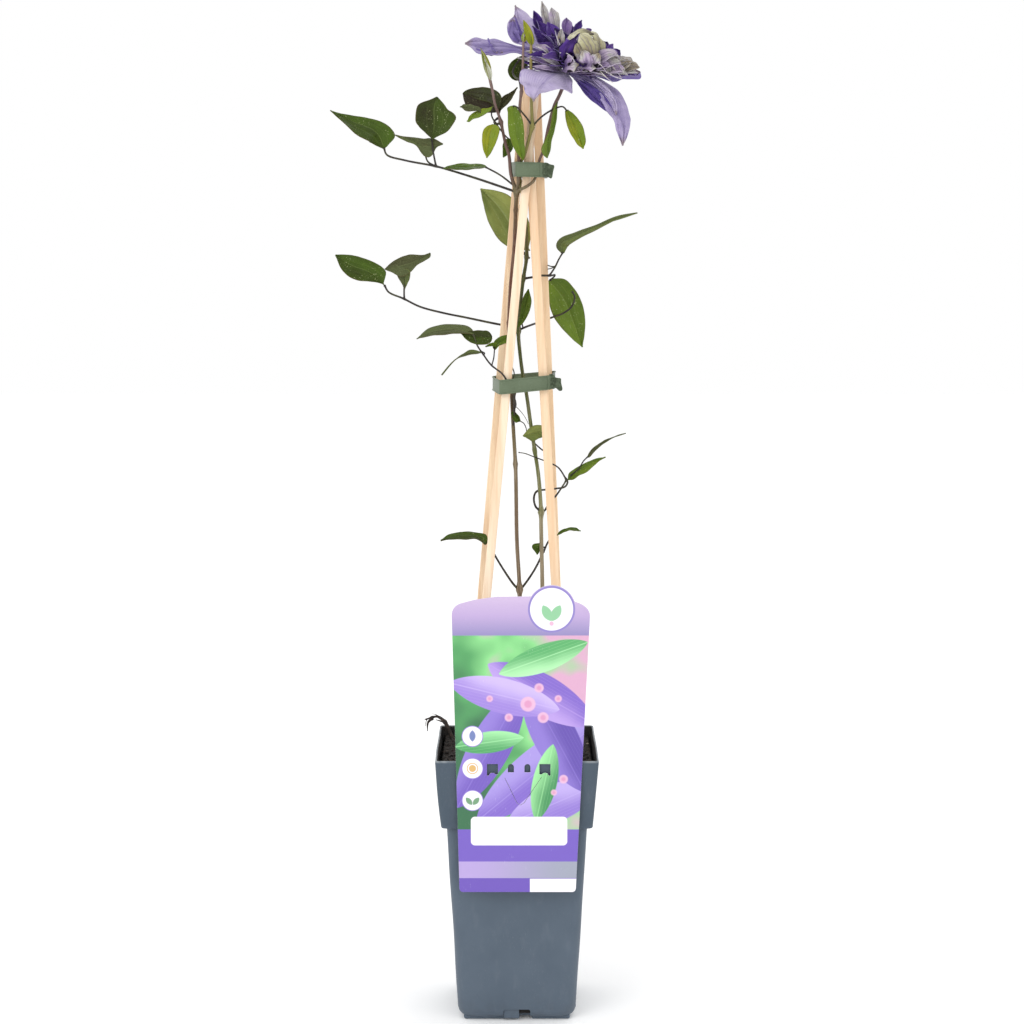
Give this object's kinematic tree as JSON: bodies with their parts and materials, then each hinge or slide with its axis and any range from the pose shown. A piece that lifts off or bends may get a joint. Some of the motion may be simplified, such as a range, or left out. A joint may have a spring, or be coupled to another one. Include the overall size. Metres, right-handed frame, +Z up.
{
  "type": "potted clematis",
  "caption": "Potted climbing plant: a double flower, leaf sprays and twining stems trained up wooden canes in a tall square plastic pot with a hanging plant label",
  "frame": {"origin": "on the surface the pot stands on, in the middle of the pot's foot", "axes": "+Z up, along the canes; -Y is the front, where the label hangs; +X is to the right as seen from the front"},
  "size_m": [0.2271, 0.1229, 0.7524],
  "materials": {
    "pot_plastic": "satin, scuffed",
    "peat": "rough, crumbly",
    "dry_bark": "rough",
    "cane_wood": "planed, matt",
    "clip_plastic": "satin",
    "label_sheet": "printed, satin",
    "brown_stem": "matt",
    "green_stem": "matt",
    "leaf": "waxy",
    "young_leaf": "waxy",
    "sepal": "soft, veined",
    "petal": "soft, veined",
    "tuft": "soft"
  },
  "bodies": {
    "root": {"pot": "pot_plastic", "soil": "peat", "dry_root": "dry_bark", "cane_back_left": "cane_wood", "cane_front_left": "cane_wood", "cane_front_right": "cane_wood", "cane_back_right": "cane_wood", "clip_lower": "clip_plastic", "clip_upper": "clip_plastic", "label": "label_sheet", "stem_brown": "brown_stem", "stem_green": "green_stem", "spray_top_left": "leaf", "spray_top_left_side": "leaf", "spray_under_bud": "leaf", "spray_front": "leaf", "spray_top_right": "leaf", "spray_behind_flower": "leaf", "spray_behind_canes": "leaf", "spray_middle_left": "leaf", "spray_middle_right": "leaf", "spray_middle": "leaf", "spray_at_clip": "leaf", "spray_low_middle": "leaf", "spray_low_right": "leaf", "spray_bottom_left": "leaf", "spray_bottom_right": "leaf", "shoot_tip_left": "young_leaf", "shoot_tip_middle": "young_leaf", "shoot_tip_right": "young_leaf", "flower_sepals": "sepal", "flower_petals": "petal", "flower_tuft": "tuft"}
  },
  "joints": []
}
